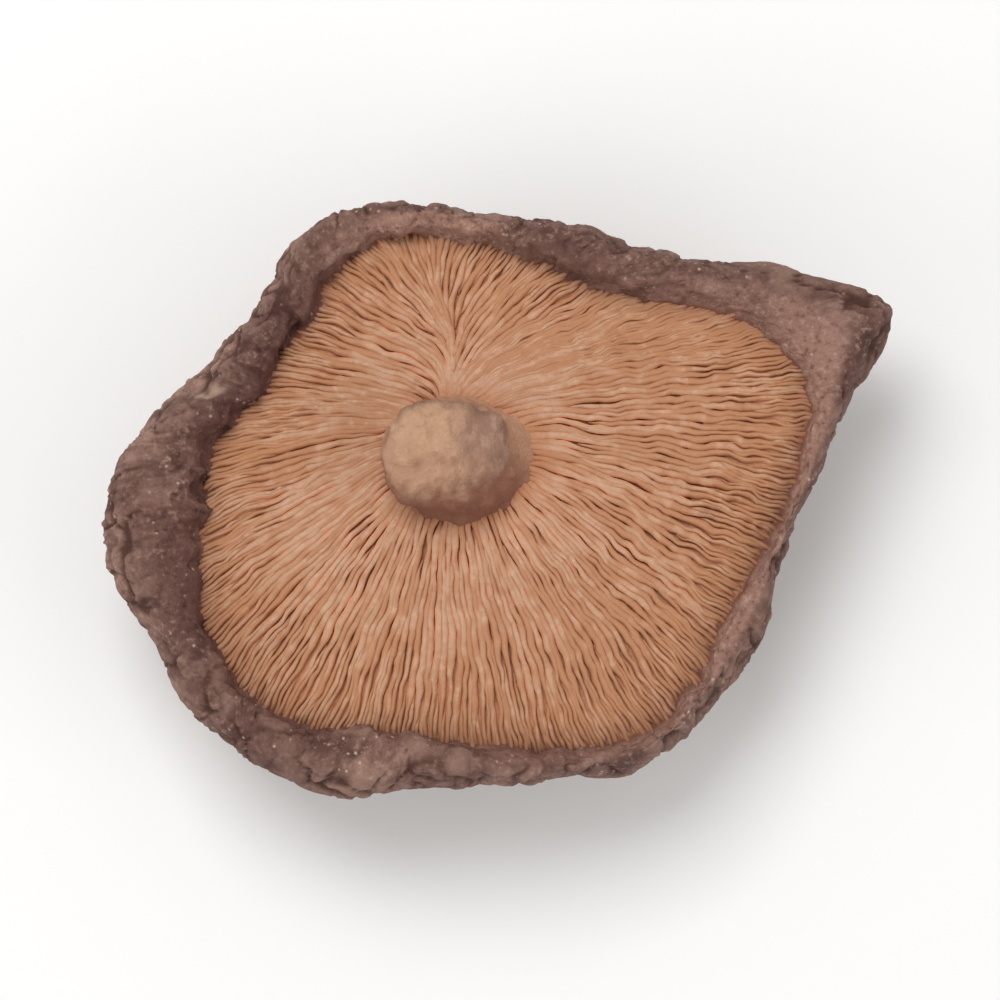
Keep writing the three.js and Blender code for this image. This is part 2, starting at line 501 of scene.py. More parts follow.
def pitch_along(gap):
    """The room for one gill at each step, where short gills have halved the gaps that let them in."""
    halvings = np.clip(np.floor(np.log2(gap * 2**LEVELS / STEM_PITCH)), 0, LEVELS)
    spaced = np.pad(gap * 2 ** (LEVELS - halvings), PITCH_RUN // 2, mode="edge")
    evened = np.convolve(spaced, np.full(PITCH_RUN, 1 / PITCH_RUN), mode="valid")
    return np.clip(evened, LEAST_PITCH, MOST_PITCH)


print("At the margin the gills stand", room[:, 0].mean().round(2), "mm apart on average")

# %% [markdown]
# ### A blade
# A dried gill is a thin sheet with an uneven edge. Cloth or an extruded curve could give one too, but as
# a ribbon of rings, each with seven points, it can sway, lean and tear a little at every step. What
# neighbours have in common is read from noise at the place, and what is the blade's own from noise that
# is shifted by its number.

# %% The shape of one blade
# How far each of a ring's seven points stands up, and how far to the side.
BLADE_CREST = np.array([0.0, 0.0, 0.78, 1.0, 0.78, 0.0, 0.0])  # from the shoulders to the edge
BLADE_SHOULDER = np.array([0, 1, 1, 1, 1, 1, 0])  # from the root to the shoulders
BLADE_WIDTH = np.array([0.54, 0.52, 0.34, 0.0, -0.34, -0.52, -0.54])
BLADE_SHARE = 1.12  # of the room between two neighbours
ROOT_DEPTH = 0.5  # how far the root goes into the flesh
LEAST_HEIGHT = 0.95
OUTER_TAPER, INNER_TAPER = 1.4, 1.8
BUNCH_WIDTH, BUNCH_LENGTH = 1.0, 5.0  # gills bunch two or three together for a few millimetres
OWN_SHIFT = 9.7  # moves each blade to its own part of the noise
BUNCH_SWAY, BUNCH_RISE = 0.11, 0.24
NOTCH_DEPTH, NOTCH_SIZE = 0.4, 0.9
WIDTH_CHANGE = 0.3
# Shifts of the gills' tone. The ragged one darkens torn ends that sit lower: painted shade.
MEAN_TONE, BUNCH_TONE, SUNKEN_END_SHADE, OWN_TONE = 0.55, 0.7, 0.9, 0.15
# How ragged the gills' outer ends are, every 30 degrees.
RAGGED_ENDS = [0.5, 0.4, 0.4, 0.6, 0.9, 1.0, 1.0, 0.8, 0.6, 0.5, 0.5, 0.5]
# How far the gills curl to and fro, every 30 degrees: most on the right.
RUFFLES = [1.0, 1.0, 0.8, 0.5, 0.3, 0.3, 0.3, 0.3, 0.2, 0.3, 0.6, 0.9]
# Noises as (depth, size, octaves, seed): shared with the neighbours, or the blade's own.
SHARED_SWAY = [(0.4, 6.5, 2, 20), (0.17, 2.4, 2, 21)]
OWN_SWAY = [(0.1, 1.5, 2, 22)]
RUFFLE_SWAY = [(0.26, 1.6, 2, 44)]
SHARED_LEAN = [(0.14, 4.5, 2, 23)]
OWN_LEAN = [(0.14, 4.0, 2, 24)]
SHARED_TOP = [(0.35, 4.5, 2, 25)]
RUFFLE_TOP = [(0.24, 1.3, 2, 45)]
OWN_TOP = [(0.22, 2.0, 2, 26)]


def bunching(number, steps, seed):
    """Noise over the gills' own sheet: near equal on neighbours, and slow along each gill."""
    ring = around_axis(np.full(len(steps), math.tau * number / gill_count), rim_length[-1] / math.tau)
    return roughness(ring / BUNCH_WIDTH + (steps / BUNCH_LENGTH)[:, None] * [0, 0, 1], 1.0, 2, seed)


def blade_tapers(steps):
    """How much of its full size a blade has along its length, as height and as thickness."""
    outer = smooth_step(steps, 0, OUTER_TAPER)
    inner = smooth_step(steps[::-1], 0, INNER_TAPER)
    return (0.35 + 0.65 * outer) * (0.55 + 0.45 * inner), (0.5 + 0.5 * outer) * (0.45 + 0.55 * inner)


# %% One blade
def make_blade(line, number, pitch):
    """Rings of points round one gill, and the rise, share and tone at each, from the margin inwards."""
    steps = BLADE_STEP * np.arange(len(line))
    path = np.pad(line, ((0, 0), (0, 1)))
    own = path + [0, 0, number * OWN_SHIFT]
    angle, share = place_of(line)
    along = np.gradient(line, axis=0)
    across = np.pad(np.stack([-along[:, 1], along[:, 0]], axis=-1), ((0, 0), (0, 1)))
    across /= np.linalg.norm(across, axis=-1, keepdims=True)

    bunch = bunching(number, steps, seed=19)
    ruffle = around(RUFFLES, angle) * np.interp(share, (0.15, 0.5), (0, 1))
    ragged = around(RAGGED_ENDS, angle) * smooth_step(share, 0.7, 0.95)
    ragged *= smooth_step(bunching(number, steps * 0.5, seed=28), -0.1, 0.4)

    sway = layered(path, SHARED_SWAY) + BUNCH_SWAY * bunching(number, steps, seed=22)
    sway += layered(own, OWN_SWAY) + ruffle * layered(path, RUFFLE_SWAY)
    lean = layered(path, SHARED_LEAN) + layered(own, OWN_LEAN)
    jagged = layered(own, OWN_TOP) - NOTCH_DEPTH * np.abs(roughness(own, NOTCH_SIZE, 2, seed=27))
    top = gill_edge_height(angle, share) + layered(path, SHARED_TOP) + ruffle * layered(path, RUFFLE_TOP)
    top += (BUNCH_RISE * bunch + jagged) * np.interp(share, (0, 0.7), (0.5, 1)) - ragged
    root = gill_edge_height(angle, share) - flesh_depth(share) - ROOT_DEPTH

    height_taper, width_taper = blade_tapers(steps)
    blade_height = np.maximum(top - root, LEAST_HEIGHT) * height_taper
    thickness = BLADE_SHARE * pitch * (1 + WIDTH_CHANGE * roughness(own, 1.3, 3, seed=29)) * width_taper
    shoulder = 1 - np.interp(share, (0, 0.5, 1), (0.2, 0.36, 0.46))[:, None]
    rise = shoulder * BLADE_SHOULDER + (1 - shoulder) * BLADE_CREST
    offset = sway[:, None] + thickness[:, None] * BLADE_WIDTH
    offset += (lean * blade_height)[:, None] * rise**1.5
    rings = path[:, None, :] + across[:, None, :] * offset[..., None]
    rings[..., 2] += root[:, None] + blade_height[:, None] * rise

    dashes = roughness(own, 1.7, 2, seed=30) * np.interp(share, (0.05, 0.8), (0.3, 1.2))
    rusty = ruffle * (0.2 + 1.1 * np.maximum(roughness(path, 1.9, 3, seed=46), 0))
    # Torn ends that sit lower are darkened in their tone: painted shade.
    tone = MEAN_TONE + BUNCH_TONE * bunch + dashes - rusty - SUNKEN_END_SHADE * ragged
    tone = np.clip(tone + rng.uniform(-OWN_TONE, OWN_TONE), 0, 1)
    fields = [np.broadcast_to(BLADE_CREST, offset.shape)]
    fields += [np.broadcast_to(value[:, None], offset.shape) for value in (share, tone)]
    return rings, fields


def blade_faces(rows, columns, first):
    """Faces that close one ribbon, whose points start at number first."""
    at = first + np.arange(rows * columns).reshape(rows, columns)
    return [*quads_between(at), at[0][::-1].tolist(), at[-1].tolist()]


def make_gills(name, blades):
    """One piece from a list of (line, number, pitch)."""
    points, faces, fields, count = [], [], [], 0
    for blade in blades:
        rings, values = make_blade(*blade)
        faces += blade_faces(*rings.shape[:2], count)
        points.append(rings.reshape(-1, 3))
        fields.append(np.stack([value.ravel() for value in values]))
        count += rings.shape[0] * rings.shape[1]
    rise, share, tone = np.concatenate(fields, axis=1)
    return make_piece(name, np.concatenate(points), faces, rise=rise, share=share, tone=tone)


# %% [markdown]
# ### Which gills are long
# Gills are numbered round the margin. Every eighth runs all the way, and one that halves a gap ends
# where its neighbours come closer than the pitch. That is how real gills fill a cap, and it keeps their
# spacing even without any list of lengths.

# %% Long and short gills
SHORTEST = 10  # steps
START_SPREAD = 4  # how many steps later than its neighbours a gill may start
END_SPREAD = 6  # how many steps earlier a short gill may end
EXTRA_STEPS = 7  # how far past its end a gill may run on, straight


def lengthen(line, count):
    """Runs a line on past its inner end."""
    return np.concatenate([line, line[-1] + np.arange(1, count + 1)[:, None] * (line[-1] - line[-2])])


long_blades, short_blades = [], []
for k, line in enumerate(gill_lines):
    level = next((n for n in range(LEVELS) if k % 2 ** (n + 1)), LEVELS)
    tight = room[k] * 2**level < STEM_PITCH
    tight_end = tight.argmax() - rng.integers(0, END_SPREAD) if tight.any() else TRACE_STEPS
    last = min(line_ends[k], tight_end)
    first = rng.integers(0, START_SPREAD)
    last = max(last, first + SHORTEST)
    extra = rng.integers(1, EXTRA_STEPS)
    pitch = np.pad(pitch_along(room[k])[first:last], (0, extra), mode="edge")
    blades = long_blades if last == line_ends[k] else short_blades
    blades.append((lengthen(line[first:last], extra), k, pitch))
long_gills = make_gills("long_gills", long_blades)
short_gills = make_gills("short_gills", short_blades)
print(len(long_blades), "gills run the whole way, and", len(short_blades), "stop short")

# %% [markdown]
# ## The stem stub
# The stem was cut or snapped off just above the gills, and its right side broke off a little lower. Its
# side is a bundle of tough fibres, so the relief there runs along it, and the broken end is torn flesh.
# A cylinder with a bump would look turned on a lathe. The same swept grid as for the cap does it better,
# with noise that is stretched along the height on the side and even in all directions on the end.

# %% The stub's mesh
STEM_COLUMNS, STEM_ROWS = 220, 96
STEM_SINK = 1.4  # how far the stub goes down into the flesh
BROKEN_DROP = 0.9  # how much lower the right side broke off
LUMP_DEPTH, FIBRE_DEPTH, TORN_DEPTH = 0.6, 0.28, 0.3


def stem_section(angle):
    """Knots from inside the flesh, up the side and over the cut end, as (distance, height)."""
    foot = stem_radius(angle)
    top = STEM_TOP_HEIGHT
    return stack_knots([
        (0, STEM_FOOT_HEIGHT - STEM_SINK),
        (foot * 1.3, STEM_FOOT_HEIGHT - STEM_SINK),
        (foot * 1.2, STEM_FOOT_HEIGHT),
        (foot * 1.06, STEM_FOOT_HEIGHT + 1.6),
        (foot * 0.97, top - 3.4),
        (foot * 0.9, top - 2.0),
        (foot * 0.7, top - 0.9),
        (foot * 0.36, top - 0.45),
        (0, top - 0.4),
    ], angle)


stem_angles = np.linspace(0, math.tau, STEM_COLUMNS, endpoint=False)
stem_knots = stem_section(stem_angles)
stem_stations = even_stations(stem_knots, STEM_ROWS)
stem_rows = spline_through(stem_knots, stem_stations)
stem_place = np.broadcast_to((stem_stations * (len(stem_knots) - 1))[:, None], stem_rows.shape[:2])
up = (stem_rows[..., 1] - STEM_FOOT_HEIGHT) / (STEM_TOP_HEIGHT - STEM_FOOT_HEIGHT)
stem_direction = np.stack([np.cos(stem_angles), np.sin(stem_angles)], axis=-1)
stem_flat = np.maximum(stem_rows[..., :1], 0) * stem_direction
stem_flat = stem_flat + STEM_FOOT_OFFSET + np.maximum(up, 0)[..., None] * STEM_LEAN
stem_grid = np.concatenate([stem_flat, stem_rows[..., 1:]], axis=-1)

broken_off = smooth_step(stem_grid[..., 0] + 1.1 * roughness(stem_grid, 2.2, 3, seed=34), 0.0, 2.2)
cut_edge = stem_place + 0.5 * roughness(stem_grid, 1.6, 3, seed=33)
cut_end = smooth_step(cut_edge, 4.6, 6.2) * (1 - 0.8 * broken_off)
lumps_warp = noise_vectors(stem_grid, 2.5, seeds=(35, 36, 37))
lumps = roughness(stem_grid, 4.0, 2, seed=32)
fibres = roughness(stem_grid * [1, 1, 0.14] + 0.25 * lumps_warp, 1.15, 4, seed=30)
torn = roughness(stem_grid, 1.1, 4, seed=31)
stem_relief = LUMP_DEPTH * lumps + FIBRE_DEPTH * fibres * (1 - cut_end) + TORN_DEPTH * torn * cut_end
stem_surface = stem_grid + grid_normals(stem_grid) * stem_relief[..., None]
stem_surface[..., 2] -= BROKEN_DROP * broken_off * smooth_step(up, 0.3, 1.0)
stem_surface[..., 2] = np.minimum(stem_surface[..., 2], STEM_TOP_HEIGHT)

# The side towards the bottom of the picture, where the stub's foot gets a painted shadow.
shadow_side = np.broadcast_to(smooth_step(-np.sin(stem_angles), -0.5, 0.7), up.shape)
foot_edge = 0.34 * shadow_side + 0.2 * roughness(stem_grid, 1.8, 3, seed=38)
near_foot = smooth_step(foot_edge - up, -0.8, -0.2)
stem_fields = {"cut": cut_end, "foot": near_foot, "lower": shadow_side}
stem_fields = {name: grid_values(values) for name, values in stem_fields.items()}
stem = make_piece("stem", *closed_grid(stem_surface), **stem_fields)

# %% [markdown]
# ## Finishes
# Nothing on a dried mushroom shines. Its colour changes in three ways: slowly over the whole surface, in
# fine mottling, and with the relief, where hollows hold darker skin. Painted images would need unwrapped
# meshes and could show seams, so the colours come from noise in space. Mottling and a dry, grainy
# surface are needed on every part, so they are one node group each. The relief is already on the meshes
# as values at each point.

# %% Node helpers
def new_group(name, inputs, outputs):
    """An empty node group; inputs are (name, default), outputs are (name, socket type)."""
    group = bpy.data.node_groups.new(name, "ShaderNodeTree")
    for socket, default in inputs:
        kind = "NodeSocketColor" if isinstance(default, tuple) else "NodeSocketFloat"
        group.interface.new_socket(socket, in_out="INPUT", socket_type=kind).default_value = default
    for socket, kind in outputs:
        group.interface.new_socket(socket, in_out="OUTPUT", socket_type=kind)
    return group, group.nodes.new("NodeGroupInput"), group.nodes.new("NodeGroupOutput")


def node(tree, kind, values=(), **settings):
    """Adds a node, with settings on the node and values or links on its inputs."""
    made = tree.nodes.new(kind)
    for setting, value in settings.items():
        setattr(made, setting, value)
    for socket, value in dict(values).items():
        if isinstance(value, bpy.types.NodeSocket):
            tree.links.new(value, made.inputs[socket])
        else:
            made.inputs[socket].default_value = value
    return made


def millimetres(tree, stretch=(1, 1, 1)):
    """Object coordinates in millimetres."""
    coordinates = tree.nodes.new("ShaderNodeTexCoord").outputs["Object"]
    scale = tuple(1 / MM * s for s in stretch)
    scaled = node(tree, "ShaderNodeVectorMath", {0: coordinates, 1: scale}, operation="MULTIPLY")
    return scaled.outputs["Vector"]


def grain(tree, size, detail=4.0, stretch=(1, 1, 1)):
    """Noise from 0 to 1 with features of the given size in millimetres."""
    values = {"Vector": millimetres(tree, stretch), "Scale": 1 / size, "Detail": detail}
    return node(tree, "ShaderNodeTexNoise", values).outputs["Fac"]


def blend(tree, amount, first, second):
    """Mixes two colours."""
    mixed = node(tree, "ShaderNodeMix", data_type="RGBA")
    for socket, value in (("Factor_Float", amount), ("A_Color", first), ("B_Color", second)):
        target = next(i for i in mixed.inputs if i.identifier == socket)
        if isinstance(value, bpy.types.NodeSocket):
            tree.links.new(value, target)
        else:
            target.default_value = value
    return next(o for o in mixed.outputs if o.identifier == "Result_Color")


def spread(tree, value, low, high, to_low=0.0, to_high=1.0):
    """Maps low..high onto to_low..to_high, clamped and smooth."""
    values = {"Value": value, "From Min": low, "From Max": high, "To Min": to_low, "To Max": to_high}
    return node(tree, "ShaderNodeMapRange", values, interpolation_type="SMOOTHSTEP").outputs["Result"]


def math_node(tree, operation, first, second):
    """One sum, product or the like of two values."""
    return node(tree, "ShaderNodeMath", {0: first, 1: second}, operation=operation).outputs["Value"]


def point_value(tree, name):
    """A value that the mesh holds at each point."""
    return node(tree, "ShaderNodeAttribute", attribute_name=name).outputs["Fac"]


def tint(tree, colour, value, low, high, most, paint):
    """Lays a paint over a colour where the value goes from low to high, at most to the given share.

    The value is a link, or the name of a value that the mesh holds."""
    if isinstance(value, str):
        value = point_value(tree, value)
    return blend(tree, spread(tree, value, low, high, 0.0, most), colour, paint)


# %% The mottling group
PATCH_SIZE = 7.0
mottle, mottle_in, mottle_out = new_group(
    "Mottle",
    [
        ("Base", (0.5, 0.5, 0.5, 1)), ("Dark", (0.2, 0.2, 0.2, 1)), ("Light", (0.8, 0.8, 0.8, 1)),
        ("Amount", 1.0), ("Speckle size", 0.6),
    ],
    [("Color", "NodeSocketColor")],
)
patches = grain(mottle, PATCH_SIZE, 3)
per_speckle = math_node(mottle, "DIVIDE", 1.0, mottle_in.outputs["Speckle size"])
speckle = node(mottle, "ShaderNodeTexNoise", {
    "Vector": millimetres(mottle), "Scale": per_speckle, "Detail": 6.0, "Roughness": 0.6,
}).outputs["Fac"]
amount = mottle_in.outputs["Amount"]
darker = math_node(mottle, "MULTIPLY", spread(mottle, patches, 0.5, 0.3), amount)
lighter = math_node(mottle, "MULTIPLY", spread(mottle, speckle, 0.52, 0.66), amount)
spots = math_node(mottle, "MULTIPLY", spread(mottle, speckle, 0.47, 0.34), amount)
darker = math_node(mottle, "MAXIMUM", darker, spots)
toned = blend(mottle, darker, mottle_in.outputs["Base"], mottle_in.outputs["Dark"])
toned = blend(mottle, lighter, toned, mottle_in.outputs["Light"])
mottle.links.new(toned, mottle_out.inputs["Color"])
print("The mottling group has", len(mottle.nodes), "nodes")

# %% The dry-surface group
dry, dry_in, dry_out = new_group(
    "Dry surface",
    [("Roughness", 0.85), ("Grain size", 0.25)],
    [("Roughness", "NodeSocketFloat"), ("Height", "NodeSocketFloat")],
)
per_millimetre = math_node(dry, "DIVIDE", 1.0, dry_in.outputs["Grain size"])
fine = node(dry, "ShaderNodeTexNoise", {
    "Vector": millimetres(dry), "Scale": per_millimetre, "Detail": 6.0, "Roughness": 0.62,
}).outputs["Fac"]
uneven = spread(dry, fine, 0.25, 0.75, -0.1, 0.08)
dry.links.new(math_node(dry, "ADD", dry_in.outputs["Roughness"], uneven), dry_out.inputs["Roughness"])
dry.links.new(fine, dry_out.inputs["Height"])
print("The dry-surface group has", len(dry.nodes), "nodes")


# %% A finish from the two groups
SPECULAR = 0.25  # dry flesh reflects less than most solids
BUMP_STRENGTH = 0.8


def new_finish(name):
    """A material with its tree and its shader."""
    material = bpy.data.materials.new(name)
    material.use_nodes = True
    tree = material.node_tree
    shader = tree.nodes["Principled BSDF"]
    shader.inputs["Specular IOR Level"].default_value = SPECULAR
    return material, tree, shader


def mottled(tree, base, dark, light, amount=1.0, speckle_size=0.6):
    """A mottled colour from three paints."""
    values = {"Base": base, "Dark": dark, "Light": light, "Amount": amount, "Speckle size": speckle_size}
    return node(tree, "ShaderNodeGroup", values, node_tree=mottle).outputs["Color"]


def dry_finish(tree, shader, colour, roughness_value, grain_size, bump_depth):
    """Feeds the colour, an uneven roughness and a fine bump to the shader."""
    values = {"Roughness": roughness_value, "Grain size": grain_size}
    surface = node(tree, "ShaderNodeGroup", values, node_tree=dry)
    bump = node(tree, "ShaderNodeBump", {
        "Height": surface.outputs["Height"], "Strength": BUMP_STRENGTH, "Distance": bump_depth * MM,
    })
    tree.links.new(colour, shader.inputs["Base Color"])
    tree.links.new(surface.outputs["Roughness"], shader.inputs["Roughness"])
    tree.links.new(bump.outputs["Normal"], shader.inputs["Normal"])


# %% [markdown]
# ### Skin
# Dark grey-brown with a purple cast round the margin, and a paler tan at the crown and in patches along
# the rim. Painted shade makes it redder and darker where the margin turns in and where it meets the
# gills. Cracks and wrinkles get painted shade, near black, and the raised parts between them a painted
# highlight in paler tan. Dust lies on it in specks. Each of these is a mask that lays one paint over the
# last, from the widest to the finest, so any of them can be changed alone.

# %% Skin colours
# Painted shade on the inward face of the rolled margin.
RED_BROWN = (0.14, 0.055, 0.043, 1)
DARK_BLOTCH = (0.085, 0.034, 0.03, 1)
PALE_BLOTCH = (0.38, 0.225, 0.18, 1)
DARK_PLATE = (0.13, 0.06, 0.048, 1)

skin_material, skin_tree, skin_shader = new_finish("dried_skin")
margin_skin = mottled(
    skin_tree, base=(0.172, 0.085, 0.065, 1), dark=(0.075, 0.033, 0.027, 1), light=(0.36, 0.215, 0.168, 1),
    speckle_size=0.45,
)
crown_skin = mottled(
    skin_tree, base=(0.34, 0.195, 0.148, 1), dark=(0.2, 0.1, 0.075, 1), light=(0.48, 0.305, 0.24, 1),
    speckle_size=0.8,
)
how_far_out = point_value(skin_tree, "outwards")
skin_colour = blend(skin_tree, spread(skin_tree, how_far_out, 0.7, 1.12), crown_skin, margin_skin)
pale_patches = spread(skin_tree, grain(skin_tree, 6.0, 4), 0.4, 0.62, 0.15, 0.8)
pale_rim = math_node(skin_tree, "MULTIPLY", spread(skin_tree, how_far_out, 1.4, 1.15), pale_patches)
skin_colour = blend(skin_tree, pale_rim, skin_colour, crown_skin)
# Painted shade, redder and darker, where the margin turns in.
skin_colour = tint(skin_tree, skin_colour, how_far_out, 1.34, 1.52, 0.65, RED_BROWN)
blotches = grain(skin_tree, 2.4, 4)
skin_colour = tint(skin_tree, skin_colour, blotches, 0.46, 0.33, 0.5, DARK_BLOTCH)
skin_colour = tint(skin_tree, skin_colour, blotches, 0.53, 0.66, 0.5, PALE_BLOTCH)
skin_colour = tint(skin_tree, skin_colour, "plate", -1.0, 1.0, 0.5, DARK_PLATE)
print("The skin so far has", len(skin_tree.nodes), "nodes")

# %% Fibrils, painted highlights on raised folds, painted shade in cracks, and the pale lip
FIBRIL_BROWN = (0.11, 0.05, 0.038, 1)
# Painted highlight on the raised skin.
RAISED_HIGHLIGHT = (0.38, 0.225, 0.17, 1)
# Painted shade in cracks and wrinkles.
CREASE_SHADE = (0.07, 0.026, 0.018, 1)
CHIP_TAN = (0.5, 0.335, 0.245, 1)
# Painted shade where the margin meets the gills.
MARGIN_FOOT_SHADE = (0.2, 0.075, 0.045, 1)
FLESH_TAN = (0.58, 0.29, 0.165, 1)
DUST = (0.52, 0.38, 0.31, 1)

unrolled_place = node(skin_tree, "ShaderNodeAttribute", attribute_name="unrolled").outputs["Vector"]
lengthwise = {0: unrolled_place, 1: (1.0, 1.0, 0.2)}
stretched = node(skin_tree, "ShaderNodeVectorMath", lengthwise, operation="MULTIPLY").outputs["Vector"]
fibril_values = {"Vector": stretched, "Scale": 5.0, "Detail": 5.0}
fibrils = node(skin_tree, "ShaderNodeTexNoise", fibril_values).outputs["Fac"]
lip_colour = mottled(
    skin_tree, base=(0.37, 0.205, 0.155, 1), dark=(0.2, 0.1, 0.072, 1), light=(0.48, 0.3, 0.235, 1),
    speckle_size=0.5,
)
for value, low, high, most, paint in (
    (fibrils, 0.5, 0.68, 0.5, FIBRIL_BROWN),
    # painted highlight on raised parts
    ("bulge", 0.5, 0.85, 0.55, RAISED_HIGHLIGHT),
    # painted shade in cracks and wrinkles
    ("crease_shade", 0.15, 0.9, 0.9, CREASE_SHADE),
    ("bare", 0.1, 0.9, 0.9, lip_colour),
    ("nick", 0.3, 0.9, 0.8, CHIP_TAN),
    # painted shade where the margin meets the gills
    ("inside", 0.0, 0.4, 0.8, MARGIN_FOOT_SHADE),
    ("inside", 0.5, 1.0, 1.0, FLESH_TAN),
):
    skin_colour = tint(skin_tree, skin_colour, value, low, high, most, paint)

# %% Dust on the skin
flecks = node(skin_tree, "ShaderNodeTexVoronoi", {"Vector": millimetres(skin_tree), "Scale": 1.6})
near_fleck = spread(skin_tree, flecks.outputs["Distance"], 0.28, 0.1)
fleck_kind = spread(skin_tree, flecks.outputs["Color"], 0.35, 0.7)
dusty = spread(skin_tree, grain(skin_tree, 4.0, 3), 0.45, 0.6, 0.12, 0.9)
fleck_mask = math_node(skin_tree, "MULTIPLY", near_fleck, fleck_kind)
fleck_mask = math_node(skin_tree, "MULTIPLY", fleck_mask, dusty)
skin_colour = blend(skin_tree, fleck_mask, skin_colour, DUST)
dry_finish(skin_tree, skin_shader, skin_colour, roughness_value=0.8, grain_size=0.4, bump_depth=0.5)
print("The finished skin has", len(skin_tree.nodes), "nodes")

# %% [markdown]
# ### Gills
# Orange-tan at their edges, with rust in patches where the blades curl, and a deeper brown towards the
# margin. Painted shade darkens torn ends that sit lower, the outer ends under the margin, and the gills
# round the stem's foot. Little light gets down between the blades, so their lower parts have a brighter
# orange, or the gaps would turn black. Each blade has its own tone along its length, which the mesh
# holds, since one noise in space would run across the blades and tie them together.

# %% Gill material
# Rust where blades curl, and painted shade on torn ends that sit lower, where a blade's tone is low.
RUST_AND_SHADE = (0.42, 0.185, 0.09, 1)

gill_material, gill_tree, gill_shader = new_finish("dried_gills")
gill_colour = mottled(
    gill_tree, base=(0.52, 0.298, 0.188, 1), dark=(0.45, 0.24, 0.138, 1), light=(0.56, 0.345, 0.232, 1),
    amount=0.9,
)
for value, low, high, most, paint in (
    ("rise", 0.85, 0.1, 1.0, (0.86, 0.44, 0.24, 1)),
    # rust, and painted shade on torn ends that sit lower
    ("tone", 0.75, 0.1, 0.75, RUST_AND_SHADE),
    ("share", 0.35, 0.95, 0.22, (0.44, 0.2, 0.085, 1)),
    # painted shade on the outer ends, under the margin
    ("share", 0.86, 1.04, 0.6, (0.3, 0.14, 0.08, 1)),
    # painted shade round the stem's foot
    ("share", 0.13, 0.0, 0.6, (0.46, 0.19, 0.09, 1)),
):
    gill_colour = tint(gill_tree, gill_colour, value, low, high, most, paint)
dry_finish(gill_tree, gill_shader, gill_colour, roughness_value=0.85, grain_size=0.2, bump_depth=0.06)
print("The gills' finish has", len(gill_tree.nodes), "nodes")

# %% [markdown]
# ### Stem
# A dull tan with darker streaks between the fibres, and lighter on the torn end. The foot takes the
# gills' orange on its upper side, and on its lower side, where the stub hangs over it, a painted shadow in
# dark red-brown.
# The streaks are noise pressed flat along the height, as the fibres are.

# %% Stem material
STREAK_BROWN = (0.27, 0.15, 0.108, 1)
FOOT_ORANGE = (0.5, 0.28, 0.17, 1)
# Painted shadow on the foot's lower side, under the stub.
FOOT_SHADOW = (0.25, 0.1, 0.06, 1)

stem_material, stem_tree, stem_shader = new_finish("dried_stem")
stem_base = mottled(
    stem_tree, base=(0.39, 0.235, 0.17, 1), dark=(0.32, 0.185, 0.135, 1), light=(0.45, 0.29, 0.22, 1),
    amount=0.6,
)
cut_colour = mottled(
    stem_tree, base=(0.52, 0.305, 0.19, 1), dark=(0.43, 0.245, 0.15, 1), light=(0.58, 0.365, 0.24, 1),
    amount=0.6,
)
streaks = spread(stem_tree, grain(stem_tree, 0.6, 4, stretch=(1, 0.5, 0.12)), 0.4, 0.62)
stem_colour = blend(stem_tree, streaks, STREAK_BROWN, stem_base)
stem_colour = blend(stem_tree, point_value(stem_tree, "cut"), stem_colour, cut_colour)
# The foot is orange on its upper side and painted shadow on its lower side.
foot_colour = blend(stem_tree, point_value(stem_tree, "lower"), FOOT_ORANGE, FOOT_SHADOW)
stem_colour = tint(stem_tree, stem_colour, "foot", 0.0, 1.0, 0.85, foot_colour)
dry_finish(stem_tree, stem_shader, stem_colour, roughness_value=0.85, grain_size=0.3, bump_depth=0.3)
print("The stem's finish has", len(stem_tree.nodes), "nodes")

# %% [markdown]
# ## Standing for the CAD solid
# All four pieces ride on the one body and stand for the one node, because they grew as one. Joining
# their meshes would tie them closer, but the joined mesh would be too heavy to export. The distance from
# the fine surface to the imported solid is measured, to show that the looks didn't change the shape.

# %% Ride on the body
PROBE_STEP = 37  # every so many points of the skin are measured
pieces = (cap, long_gills, short_gills, stem)
materials = (skin_material, gill_material, gill_material, stem_material)
for piece, material in zip(pieces, materials):
    piece.data.materials.append(material)
    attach(piece, "root")
    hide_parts(NODE)

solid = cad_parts[NODE].data
corners = [v.co for v in solid.vertices]
solid_tree = BVHTree.FromPolygons(corners, [p.vertices for p in solid.polygons])
skin_count = np.count_nonzero(cap_place[1:-1].ravel() < CREST_KNOT)
skin_points = list(cap.data.vertices)[:skin_count:PROBE_STEP]
gaps = [solid_tree.find_nearest(v.co)[3] / MM for v in skin_points]
print(f"The skin lies {np.mean(gaps):.2f} mm from the CAD solid on average, {max(gaps):.2f} mm at most")

# %% [markdown]
# ## Floor, light and camera
# A plain pale floor with one large soft light overhead, a little towards the top of the picture so that
# the stem throws its small shadow downwards, and weak fill from the sides. The floor could be one big
# square, but its far edge would show from low down, so it curves up into a wall all round. The camera
# looks almost straight down into the gills.

# %% Floor
FLOOR_RADIUS, COVE_RADIUS = 0.7, 0.35  # metres
COVE_STEPS, FLOOR_COLUMNS = 16, 128
FLOOR_COLOUR, FLOOR_ROUGHNESS = (0.84, 0.835, 0.825, 1), 0.9

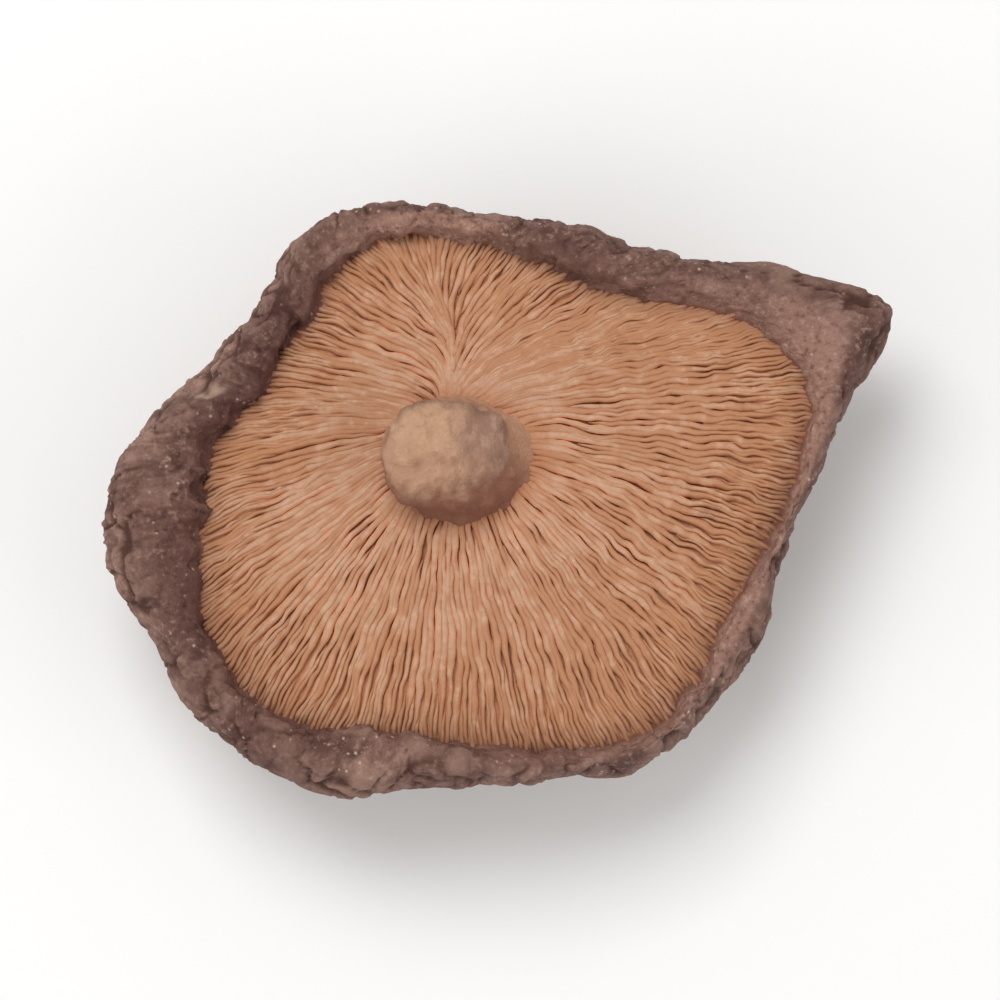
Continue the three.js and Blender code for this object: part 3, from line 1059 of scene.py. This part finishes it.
cove = np.linspace(0, math.pi / 2, COVE_STEPS)
cove_distance = FLOOR_RADIUS + COVE_RADIUS * np.sin(cove)
cove_height = COVE_RADIUS * (1 - np.cos(cove))
floor_turn = np.linspace(0, math.tau, FLOOR_COLUMNS, endpoint=False)
floor_rows = np.stack([
    np.outer(cove_distance, np.cos(floor_turn)),
    np.outer(cove_distance, np.sin(floor_turn)),
    np.repeat(cove_height[:, None], FLOOR_COLUMNS, axis=1),
], axis=-1)
at = np.arange(COVE_STEPS * FLOOR_COLUMNS).reshape(COVE_STEPS, FLOOR_COLUMNS)
after = np.roll(at, -1, axis=1)
floor_faces = np.stack([at[:-1], at[1:], after[1:], after[:-1]], axis=-1).reshape(-1, 4).tolist()
floor_mesh = bpy.data.meshes.new("floor")
floor_mesh.from_pydata(floor_rows.reshape(-1, 3).tolist(), [], [at[0].tolist(), *floor_faces])
floor_mesh.shade_smooth()
floor = bpy.data.objects.new("floor", floor_mesh)
bpy.context.scene.collection.objects.link(floor)
floor_material, _, floor_shader = new_finish("pale_floor")
floor_shader.inputs["Base Color"].default_value = FLOOR_COLOUR
floor_shader.inputs["Roughness"].default_value = FLOOR_ROUGHNESS
floor_mesh.materials.append(floor_material)
print("The floor is", round(2 * (FLOOR_RADIUS + COVE_RADIUS), 1), "m across")

# %% Lights
WORLD_STRENGTH = 0.55
LIGHTS = [  # name, place in metres, side in metres, power in watts
    ("key", (-0.16, 0.26, 0.62), 0.35, 2.7),
    ("fill_left", (-0.6, -0.35, 0.35), 0.5, 1.4),
    ("fill_right", (0.6, -0.3, 0.35), 0.5, 1.3),
]
for name, place, side, power in LIGHTS:
    light = bpy.data.lights.new(name, "AREA")
    light.size = side
    light.energy = power
    lamp = bpy.data.objects.new(name, light)
    lamp.location = place
    lamp.rotation_euler = (-Vector(place)).to_track_quat("-Z", "Y").to_euler()
    bpy.context.scene.collection.objects.link(lamp)
world = bpy.data.worlds.new("studio")
world.use_nodes = True
world.node_tree.nodes["Background"].inputs["Color"].default_value = (1, 1, 1, 1)
world.node_tree.nodes["Background"].inputs["Strength"].default_value = WORLD_STRENGTH
bpy.context.scene.world = world
bpy.context.scene.view_settings.view_transform = "Standard"
print(len(LIGHTS), "soft lights, all aimed at the mushroom")

# %% Camera
LENS = 200  # a long lens from far off, so that near parts aren't drawn larger
SENSOR = 36
FILL = 0.78  # the share of the picture's width that the mushroom takes
ELEVATION = math.radians(84)
camera_data = bpy.data.cameras.new("camera")
camera_data.lens = LENS
camera_data.sensor_width = SENSOR
camera = bpy.data.objects.new("camera", camera_data)
bpy.context.scene.collection.objects.link(camera)
box_low, box_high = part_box(NODE)
target = (box_low + box_high) / 2
reach = (node_high.x - node_low.x) * MM / FILL * LENS / SENSOR
back = Vector((0, -math.cos(ELEVATION), math.sin(ELEVATION)))
camera.location = target + back * reach
camera.rotation_euler = (-back).to_track_quat("-Z", "Y").to_euler()
camera_data.clip_start = 0.01
bpy.context.scene.camera = camera
print("The camera stands", round(reach / MM), "mm from the mushroom")
